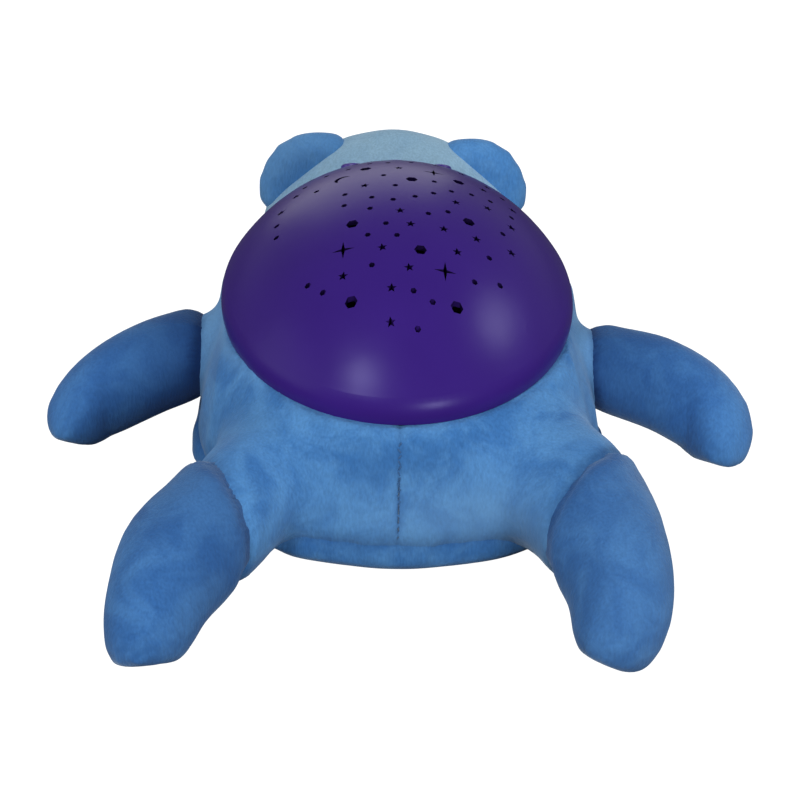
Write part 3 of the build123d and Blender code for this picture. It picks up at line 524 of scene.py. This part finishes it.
def hill(values, middle, half):
    """A share that is 1 at the middle and falls away softly on both sides."""
    return np.exp(-(((values - middle) / half) ** 2))


def oval_reach(rows):
    """How far out each point lies, as a share of the dome's rim."""
    return np.hypot(rows[:, 0] / dome_high.x, rows[:, 1] / dome_high.y)


def torso_held(rows):
    """The torso's points that don't swell: those round the tub, at the belly seam and under the rim."""
    return (oval_reach(rows) < 0.99) | (rows[:, 2] < seam_z + 3 * MM) | (rows[:, 2] > rim_z - 2 * MM)


# The hips lie a little to the right, the left one more than the right one.
LEAN_LEFT = 8 * MM
LEAN_RIGHT = 5 * MM
LEAN_INNER = 45 * MM
LEAN_OUTER = 80 * MM
HIP_Y = -90 * MM
HIP_SPAN = 30 * MM


def lean(rows):
    """How far each point is carried to the right with the hips."""
    side = np.where(rows[:, 0] < 0, LEAN_LEFT, LEAN_RIGHT)
    return side * fade(np.abs(rows[:, 0]), LEAN_INNER, LEAN_OUTER) * hill(rows[:, 1], HIP_Y, HIP_SPAN)


# The filling is full at the rear corners and the flanks and slack by the head: how far it pushes outwards on
# the left and on the right, where, in degrees round from the tail, and over how many degrees.
FULLNESS = (
    (8 * MM, 8 * MM, 36, 16),
    (6 * MM, 10 * MM, 70, 9),
    (-3.5 * MM, -3.5 * MM, 122, 20),
)
RIM_HELD = 34 * MM


def girth(rows):
    """The share by which each point is pushed outwards by the filling."""
    turn = np.degrees(np.arctan2(np.abs(rows[:, 0]) / dome_high.x, -rows[:, 1] / dome_high.y))
    skin = fade(oval_reach(rows), 0.95, 1.05)
    below_rim = fade(rows[:, 2], rim_z, rim_z - RIM_HELD)
    push = sum(
        np.where(rows[:, 0] < 0, left, right) * hill(turn, middle, half)
        for left, right, middle, half in FULLNESS
    )
    return push / np.hypot(rows[:, 0], rows[:, 1]) * skin * below_rim


# Where each limb is sewn on, against its root in the frame, and how far into the torso that pulls. The
# covers over the arms are drawn together there, and their rims are eased.
SEWN_SHIFT = {
    "arm_left": (10, 3, 3), "arm_right": (-10, 3, 2), "leg_left": (-4, -5, 0), "leg_right": (4, -5, 0),
}
PULL_REACH = 32 * MM
LIMB_CLEAR = 20 * MM
SHOULDER_RIM = 6 * MM
SHOULDER_DRAW = np.array((0, 0.38, 0.14))
SHOULDER_REAR = np.array((0, -5, 0)) * MM
SHOULDER_EASE = 16 * MM
EASE_TIMES = 8
HIP_DROP = {-1: 4 * MM, 1: 2 * MM}
HIP_INNER = 72 * MM
HIP_OUTER = 97 * MM
# The back seam is two panels sewn face to face and turned: a narrow valley with the pile closing over it.
SEAM_CUTS = (-4, -2, -0.8, 0, 0.8, 2, 4)
SEAM_HALF = 1.8 * MM
SEAM_DEPTH = 0.8 * MM
SEAM_WANDER = 6 * MM
SEAM_FOOT = 10 * MM
SEAM_LINE = 0.9 * MM
# The belly seam covers the belly's turned edge all round and is drawn down at the rear corners.
SEAM_COVER = 3 * MM
SEAM_RISE = 1.5 * MM
CORNER_DROP = 5.5 * MM
CORNER_X = 62 * MM
# Painted shade along the sewn edges, as far as this and as dark as this.
EDGE_HALF = 2.5 * MM
SEWN_EDGE = 3 * MM
SEWN_SHADE = 0.4
# The tufts of pile that stand up unevenly against the dome's rim.
TUFT_SIZE = 5 * MM
TUFT_HEIGHT = 0.9 * MM
TUFT_SPREAD = 1.3 * MM
limbs = tuple(SEWN_SHIFT)
plush_blue = plush("short_pile_plush_blue", PLUSH_BLUE, "#2f639f", "#5b92c6")
torso = stuffed("torso", -0.8 * MM, 5 * MM, torso_held, [(name,) for name in limbs], 8 * MM, 60)
lumps(torso, 34 * MM, 0.8 * MM)
form = bmesh.new()
form.from_mesh(torso.data)
for offset in SEAM_CUTS:
    rear = [f for f in form.faces if f.calc_center_median().y < -0.6 * dome_high.y]
    loose = {e for f in rear for e in f.edges} | {v for f in rear for v in f.verts} | set(rear)
    bmesh.ops.bisect_plane(
        form, geom=list(loose), dist=1e-6, plane_co=(offset * MM, 0, 0), plane_no=(1, 0, 0),
    )
form.to_mesh(torso.data)
form.free()
torso.data.shade_smooth()
rows = points(torso.data)
x, y, z = rows.T
rear = y < -0.75 * dome_high.y
reach = oval_reach(rows)
limb_gaps = {name: distance_to(tree_of(name), rows) for name in limbs}
limb_gap = np.min(list(limb_gaps.values()), axis=0)
arm_gap = np.minimum(limb_gaps["arm_left"], limb_gaps["arm_right"])
leg_gap = np.minimum(limb_gaps["leg_left"], limb_gaps["leg_right"])
wander = np.array([noise.noise(Vector((0, 0, height)) / SEAM_WANDER) for height in z])
valley = SEAM_DEPTH * hill(x, 0, SEAM_HALF) * fade(z, seam_z, seam_z + SEAM_FOOT) * rear
made = rows - headings(torso.data) * (valley * (1 + 0.5 * wander))[:, None]
made[:, :2] *= 1 + girth(rows)[:, None] * fade(limb_gap, 0, LIMB_CLEAR)[:, None]
made[:, 0] += lean(rows)
for name in limbs:
    pull = fade(limb_gaps[name], PULL_REACH, 0)[:, None]
    made += pull * np.array(SEWN_SHIFT[name]) * MM
    if name.startswith("arm"):
        root = rows[limb_gaps[name] < SHOULDER_RIM].mean(0) + SHOULDER_REAR
        made -= pull * (rows - root) * SHOULDER_DRAW
hip = fade(leg_gap, PULL_REACH, 0) * fade(np.abs(x), HIP_INNER, HIP_OUTER)
hip_drop = np.where(x < 0, HIP_DROP[-1], HIP_DROP[1])
made[:, 2] -= hip_drop * hip * fade(z, seam_z, seam_z + 15 * MM)
made[:, 2] -= SEAM_COVER * fade(z, seam_z + 4 * MM, seam_z)
collar = fade(reach, 1.0, 1.015) * fade(reach, 1.09, 1.03) * fade(z, rim_z - 7.8 * MM, rim_z - 1.8 * MM)
tufts = np.array([noise.noise(Vector(row) / TUFT_SIZE) for row in rows * collar[:, None]])
made[:, 2] += collar * (TUFT_HEIGHT + TUFT_SPREAD * tufts)
corner = fade(np.abs(x), 0, CORNER_X) ** 2 * rear * fade(limb_gap, 0, 12 * MM)
made[:, 2] += (SEAM_RISE - CORNER_DROP * corner) * rear * fade(z, seam_z + 16 * MM, seam_z)
for _ in range(EASE_TIMES):
    made += 0.5 * fade(arm_gap, SHOULDER_EASE, 0)[:, None] * inward_pull(torso.data, made)
move_to(torso.data, made)
# Painted shade on the lower inner hips, beside the legs.
inner_leg_shade = fade(z, 36 * MM, 22 * MM) * fade(leg_gap, 33.6 * MM, 9.6 * MM)
# The seam-and-shade mark darkens the back seam's line, and adds painted shade along the belly seam and round
# the limbs' roots.
mark(
    torso, "seam_and_shade",
    (0.24 + 0.24 * wander) * hill(x, 0, SEAM_LINE) * rear + 0.5 * hill(z, seam_z, EDGE_HALF)
    + SEWN_SHADE * fade(limb_gap, SEWN_EDGE, 0) + 0.22 * inner_leg_shade,
)
# Painted light: the plush is painted paler at the flanks, along a fold under the rim and towards the lower
# right of the rear.
flank = hill(np.abs(x), 98 * MM, 12 * MM) * hill(y, -10 * MM, 42 * MM)
lower = hill(x, 45 * MM, 60 * MM) * hill(z, 34 * MM, 18 * MM) * rear
fold = hill(reach, 1.03, 0.035) * hill(y, -30 * MM, 34 * MM) * (x < 0) * (z > rim_z - 16 * MM)
mark(torso, "painted_light", 0.6 * flank + 0.45 * lower + 0.5 * fold)
dress(torso, "torso", plush_blue)

# Closing stitches: the toy is stuffed through the back seam, which is then closed by hand with navy polyester
# thread, drawn zigzag across its upper half. It shows as short dark dashes.
STITCH_COUNT = 11
STITCH_START = 6 * MM
STITCH_STEP = 2.7 * MM
STITCH_LENGTH = 3.4 * MM
STITCH_LEAN = 28.0
STITCH_LIFT = 0.1 * MM
THREAD = 0.38 * MM
THREAD_TWIST = 0.4 * MM
skin = BVHTree.FromPolygons(
    [tuple(v.co) for v in torso.data.vertices], [tuple(p.vertices) for p in torso.data.polygons],
)
form = bmesh.new()
for index in range(STITCH_COUNT):
    height = rim_z - STITCH_START - STITCH_STEP * index
    spot, out, _, _ = skin.ray_cast(Vector((0, -1, height)), Vector((0, 1, 0)))
    slant = math.radians(90 - STITCH_LEAN if index % 2 else 90 + STITCH_LEAN)
    tilt = slant + 0.3 * noise.noise(Vector((index * 1.7, 0, 0)))
    turn = Matrix.Rotation(tilt, 4, Vector((0, 1, 0)))
    length = STITCH_LENGTH * (1 + 0.3 * noise.noise(Vector((0, index * 2.3, 0))))
    shape = Matrix.Diagonal((length / 2, THREAD, THREAD, 1))
    place = Matrix.Translation(spot + out * STITCH_LIFT)
    bmesh.ops.create_icosphere(form, subdivisions=2, radius=1.0, matrix=place @ turn @ shape)
stitch_mesh = bpy.data.meshes.new("closing_stitches")
form.to_mesh(stitch_mesh)
form.free()
stitch_mesh.shade_smooth()
stitches = bpy.data.objects.new("closing_stitches", stitch_mesh)
bpy.context.scene.collection.objects.link(stitches)
thread, thread_place = new_material("polyester_thread_navy")
twist = add(thread, "ShaderNodeTexNoise", {"Vector": thread_place, "Scale": 1 / THREAD_TWIST})
thread_tone = add(
    thread, "ShaderNodeMix", {0: twist.outputs[0], 6: linear("#274d7c"), 7: linear("#3d6c9c")},
    data_type="RGBA",
)
thread_shader = add(
    thread, "ShaderNodeBsdfPrincipled", {"Base Color": thread_tone.outputs[2], "Roughness": 0.7},
)
add(thread, "ShaderNodeOutputMaterial", {"Surface": thread_shader.outputs[0]})
stitches.data.materials.append(thread)
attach(stitches, "toy")

# Belly panel: the flat underside of the same plush, sewn to the torso all round, with an opening for the cell
# door. Its upper edge is turned up inside the torso's.
BELLY_REAR = 2.5 * MM
EDGE_TURN = 8 * MM
EDGE_TAKEN_IN = 0.025
EDGE_RAISED = 4 * MM
belly_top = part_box("belly_panel")[1].z
hem_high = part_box("belly_hem")[1]


def belly_held(rows):
    """The belly's points that don't swell: the flat it lies on, the opening and the seam."""
    by_opening = (np.abs(rows[:, 0]) < 1.3 * hem_high.x) & (np.abs(rows[:, 1]) < 1.4 * hem_high.y)
    return (rows[:, 2] < 2 * MM) | (rows[:, 2] > belly_top - 2 * MM) | by_opening


belly = stuffed("belly_panel", -1.2 * MM, 3 * MM, belly_held)
rows = points(belly.data)
made = rows.copy()
made[:, :2] *= 1 + girth(rows)[:, None]
made[:, 0] += lean(rows)
made[:, 1] -= BELLY_REAR * fade(-rows[:, 1] / dome_high.y, 0.5, 1.0)
turned = fade(rows[:, 2], belly_top - EDGE_TURN, belly_top)
made[:, :2] *= 1 - EDGE_TAKEN_IN * turned[:, None]
made[:, 2] += EDGE_RAISED * turned
move_to(belly.data, made)
# Painted shade: the whole belly is a little darker, and darker still along its seam under the torso's edge.
mark(belly, "seam_and_shade", 0.12 + 0.4 * hill(rows[:, 2], belly_top, EDGE_HALF))
dress(belly, "belly_panel", plush_blue)

# Head, ears and muzzle: stuffed plush forms sewn on, each gathered in where it meets the next. The head and
# muzzle are cut from a paler plush than the ears and body.
ROOT_REACH = 55 * MM
EAR_STRETCH = (1.17, 1.0, 1.2)
EAR_INWARDS = 3.5 * MM
EAR_DROP = {-1: 5 * MM, 1: 7 * MM}


def sewn_on(
    node, carriers, material, inset=-1.2 * MM, reach=4 * MM, bumps=0.7 * MM, tuck=8 * MM,
    lie_and_root_shade=0.0, painted_light=0.0, settled=lambda rows, gap: rows,
):
    """A stuffed piece sewn to what carries it, with painted shade towards its root and painted light towards
    its end.
    """
    piece = stuffed(node, inset, reach, lambda rows: np.zeros(len(rows), bool), [carriers], tuck)
    lumps(piece, 28 * MM, bumps)
    rows = points(piece.data)
    gap = distance_to(tree_of(*carriers), rows)
    move_to(piece.data, settled(rows.copy(), gap))
    mark(piece, "seam_and_shade", SEWN_SHADE * fade(gap, SEWN_EDGE, 0) + lie_and_root_shade * fade(gap, ROOT_REACH, 0))
    mark(piece, "painted_light", painted_light * fade(gap, 0, ROOT_REACH))
    dress(piece, node, material)


plush_pale = plush("short_pile_plush_pale", "#88acc5", "#80a4c0", "#91b4cb")
# The ears' plush is painted paler than the body's as painted light, since the dome shades them.
plush_ear_painted_light = plush("short_pile_plush_ear_painted_light", "#4b83bd", "#4079b6", "#5a90c5")
sewn_on("head", ("torso", "belly_panel"), plush_pale)


def ear_settled(rows, gap):
    """The ears are pulled wide and low on the head's sides."""
    middle = (rows.min(0) + rows.max(0)) / 2
    side = -1 if middle[0] < 0 else 1
    return middle + (rows - middle) * EAR_STRETCH + (-side * EAR_INWARDS, 0, -EAR_DROP[side])


# Painted light pales the left ear, which the dome shades.
sewn_on("ear_left", ("head",), plush_ear_painted_light, painted_light=0.9, settled=ear_settled)
sewn_on("ear_right", ("head",), plush_ear_painted_light, settled=ear_settled)
sewn_on("muzzle", ("head",), plush_pale)

# Arms and legs: stuffed plush tubes with a rounded end, sewn to the covers that the torso runs out over
# their roots. They lie as they fell, the arms bent down to the paws and the feet turned a little. Their
# plush is given a deeper tone than the body's.
ARM_ROOT = 105 * MM
ARM_TIP = 171 * MM
ARM_WIDTH = 0.8
ARM_ARCH = 5 * MM
PAW_FROM = 0.55
PAW_TURN = {-1: -0.42, 1: 0.55}
PAW_BEND = 9 * MM
FOOT_FROM = -135 * MM
FOOT_TIP = -190 * MM
FOOT_STRETCH = 2 * MM
FOOT_TURN = 3 * MM
FOOT_TURN_POWER = {-1: 2, 1: 5}
LEG_ROOT = 20 * MM
LEG_SWELL = 0.1
LEG_SWELL_PEAK = 12 * MM
LEG_SLIM = 0.06
FOOT_SLIM = {-1: 0.1, 1: 0.03}
LEG_ASIDE = {-1: 2 * MM, 1: 0}
plush_limb = plush("short_pile_plush_limb", "#386cab", "#2a5c9c", "#4a82bd")
plush_leg = plush("short_pile_plush_leg", "#3666a1", "#285792", "#487bb2")


def arm_settled(rows, gap):
    """The arms are sewn on high, thin at the root, and bend down to the paws."""
    side = -1 if rows[:, 0].mean() < 0 else 1
    out = np.abs(rows[:, 0])
    along = fade(out, ARM_ROOT, ARM_TIP)
    paw = fade(along, PAW_FROM, 1)
    line = np.polyval(np.polyfit(out, rows[:, 1], 2), out)
    rows[:, 0] += (rows[:, 1] - line) * paw * PAW_TURN[side]
    rows[:, 1] = line + (rows[:, 1] - line) * (ARM_WIDTH + 0.1 * along + 0.3 * paw) + 1 * MM
    rows[:, 2] += ARM_ARCH * np.sin(math.pi * along ** 1.4)
    rows[:, 1] -= paw * PAW_BEND
    shift = np.array(SEWN_SHIFT["arm_left" if side < 0 else "arm_right"]) * MM
    return rows + fade(gap, ROOT_REACH, 0)[:, None] * shift


def leg_settled(rows, gap):
    """The legs swell out past the seam. The left one is pressed narrow, the right foot turned in."""
    side = -1 if rows[:, 0].mean() < 0 else 1
    line = np.polyval(np.polyfit(rows[:, 1], rows[:, 0], 2), rows[:, 1])
    middle = rows[gap < LEG_ROOT].mean(0)
    foot = fade(rows[:, 1], FOOT_FROM, FOOT_TIP)
    outer = np.clip((rows[:, 0] - middle[0]) * side / LEG_ROOT, 0, 1)
    swell = LEG_SWELL * gap / LEG_SWELL_PEAK * np.exp(1 - gap / LEG_SWELL_PEAK) * (1 - outer)
    pull = fade(gap, ROOT_REACH, 0)
    made = rows + pull[:, None] * np.array(SEWN_SHIFT["leg_left" if side < 0 else "leg_right"]) * MM
    made[:, [0, 2]] += (rows - middle)[:, [0, 2]] * swell[:, None]
    made[:, 0] += lean(rows)
    made[:, 1] -= FOOT_STRETCH * foot
    made[:, 2] -= HIP_DROP[side] * outer * pull
    made[:, 0] -= (rows[:, 0] - line) * fade(gap, 0, LEG_ROOT) * (LEG_SLIM + FOOT_SLIM[side] * foot)
    made[:, 0] -= FOOT_TURN * foot ** FOOT_TURN_POWER[side] + LEG_ASIDE[side] * fade(gap, 0, 25 * MM)
    return made


# Painted shade darkens each limb towards its root, the left ones more; painted light pales the arms' and
# right leg's ends a little.
sewn_on("arm_left", ("torso",), plush_limb, lie_and_root_shade=0.85, painted_light=0.05, settled=arm_settled)
sewn_on("arm_right", ("torso",), plush_limb, lie_and_root_shade=0.65, painted_light=0.05, settled=arm_settled)
body = ("torso", "belly_panel")
sewn_on("leg_left", body, plush_leg, lie_and_root_shade=0.35, settled=leg_settled)
sewn_on("leg_right", body, plush_leg, lie_and_root_shade=0.1, painted_light=0.08, settled=leg_settled)

# Eyes: polished black discs of moulded ABS, pressed into the head from outside, with a shank behind. Their
# gloss is hard, so each shows a sharp glint.
EYE_BLACK = "#0b0c11"
eye_abs = moulded_abs("polished_eye_black", EYE_BLACK, 0.12, 0.0)
for name in ("eye_left", "eye_right"):
    finish_node(name, eye_abs)

# Nose and belly hem: navy woven cloth with a short nap. The nose is a small stuffed patch sewn to the
# muzzle, and the hem is a tape folded round the edge of the belly's opening and stitched down.
cloth_dark = plush("woven_cloth_navy", "#22345c", "#1c2d52", "#2a3f6b")
sewn_on("nose", ("muzzle",), cloth_dark, 0.2 * MM, 1 * MM, 0.0, 2 * MM)
hem = bpy.data.objects.new("hem_tape", nodes["belly_hem"].data.copy())
bpy.context.scene.collection.objects.link(hem)
hem.data.materials.clear()
hem.data.materials.append(cloth_dark)
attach(hem, "toy")
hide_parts("belly_hem")

# Floor: a plain pale sweep. The camera sees it white with the toy's shadow on it, and it throws back
# only as much light as a mid-grey table.
FLOOR_SIZE = 8.0
WHITE_SHARE = 0.84
WHITE_STRENGTH = 1.25
floor_mesh = bpy.data.meshes.new("floor")
form = bmesh.new()
bmesh.ops.create_grid(form, x_segments=1, y_segments=1, size=FLOOR_SIZE / 2)
form.to_mesh(floor_mesh)
form.free()
floor = bpy.data.objects.new("floor", floor_mesh)
bpy.context.scene.collection.objects.link(floor)
paper, _ = new_material("pale_paper_sweep")
ray = add(paper, "ShaderNodeLightPath")
lit = add(paper, "ShaderNodeBsdfDiffuse", {"Color": linear("#f4f4f4")})
white = add(paper, "ShaderNodeEmission", {"Color": linear("#ffffff"), "Strength": WHITE_STRENGTH})
seen = add(paper, "ShaderNodeMixShader", {0: WHITE_SHARE, 1: lit.outputs[0], 2: white.outputs[0]})
thrown = add(paper, "ShaderNodeBsdfDiffuse", {"Color": linear("#606060")})
paper_mix = add(
    paper, "ShaderNodeMixShader",
    {0: ray.outputs["Is Camera Ray"], 1: thrown.outputs[0], 2: seen.outputs[0]},
)
add(paper, "ShaderNodeOutputMaterial", {"Surface": paper_mix.outputs[0]})
floor.data.materials.append(paper)

# Studio light: a white room, at its full strength only to the camera, and five soft boxes. One stands high
# on the left, one low by the camera, a broad one far left, one on the right and a broad one behind.
ROOM_LIGHT = 0.32
ROOM_SEEN = 1.0
world = bpy.data.worlds.new("white_room")
bpy.context.scene.world = world
world.use_nodes = True
room = world.node_tree.nodes["Background"]
room.inputs["Color"].default_value = (1, 1, 1, 1)
seen_by = add(world, "ShaderNodeLightPath")
room_level = add(
    world, "ShaderNodeMapRange",
    {"Value": seen_by.outputs["Is Camera Ray"], "To Min": ROOM_LIGHT, "To Max": ROOM_SEEN},
)
world.node_tree.links.new(room_level.outputs[0], room.inputs["Strength"])


def soft_box(name, place, aim, size, watts):
    """A square soft light aimed at a point."""
    data = bpy.data.lights.new(name, "AREA")
    data.shape = "SQUARE"
    data.size = size
    data.energy = watts
    lamp = bpy.data.objects.new(name, data)
    bpy.context.scene.collection.objects.link(lamp)
    lamp.location = place
    lamp.rotation_euler = (Vector(aim) - Vector(place)).to_track_quat("-Z", "Y").to_euler()


soft_box("left_box", place=(-0.6, -1.02, 1.22), aim=(0, 0, 0.05), size=0.35, watts=12.0)
soft_box("low_box", place=(0.75, -1.6, 0.4), aim=(0, 0, 0.06), size=0.4, watts=12.0)
soft_box("left_fill", place=(-1.5, -0.3, 0.4), aim=(0, 0, 0.06), size=1.2, watts=5.0)
soft_box("right_box", place=(1.2, 0.1, 1.0), aim=(0, 0, 0.06), size=0.45, watts=6.5)
soft_box("back_box", place=(-0.3, 2.2, 0.6), aim=(0, 0, 0.06), size=1.6, watts=8.0)

# Camera: above and behind the toy, nearly along its length, with the photograph's long lens and slight roll.
# The middle of the dome's rim lies at the aim pixel.
CAMERA_DISTANCE = 0.85
ELEVATION = math.radians(32.0)
AZIMUTH = math.radians(-1.5)
ROLL = math.radians(1.5)
AIM_PIXEL = (397.0, 300.0)
FRAME_PIXELS = 800.0
FOCAL_PIXELS = 1742.0
SENSOR = 36.0
target = Vector((0, 0, rim_z))
back = Vector((
    math.sin(AZIMUTH) * math.cos(ELEVATION), -math.cos(AZIMUTH) * math.cos(ELEVATION), math.sin(ELEVATION),
))
across = Vector((math.cos(AZIMUTH), math.sin(AZIMUTH), 0))
up = back.cross(across)
level = across * math.cos(ROLL) + up * math.sin(ROLL)
rise = up * math.cos(ROLL) - across * math.sin(ROLL)
drop = math.atan((FRAME_PIXELS / 2 - AIM_PIXEL[1]) / FOCAL_PIXELS)
swing = math.atan((FRAME_PIXELS / 2 - AIM_PIXEL[0]) / FOCAL_PIXELS)
turn = Matrix.Rotation(-drop, 3, level) @ Matrix.Rotation(-swing, 3, rise)
camera_data = bpy.data.cameras.new("camera")
camera_data.sensor_width = SENSOR
camera_data.lens = FOCAL_PIXELS / FRAME_PIXELS * SENSOR
camera = bpy.data.objects.new("camera", camera_data)
bpy.context.scene.collection.objects.link(camera)
facing = turn @ Matrix((level, rise, back)).transposed()
camera.matrix_world = Matrix.Translation(target + back * CAMERA_DISTANCE) @ facing.to_4x4()
bpy.context.scene.camera = camera
bpy.context.scene.view_settings.view_transform = "Standard"
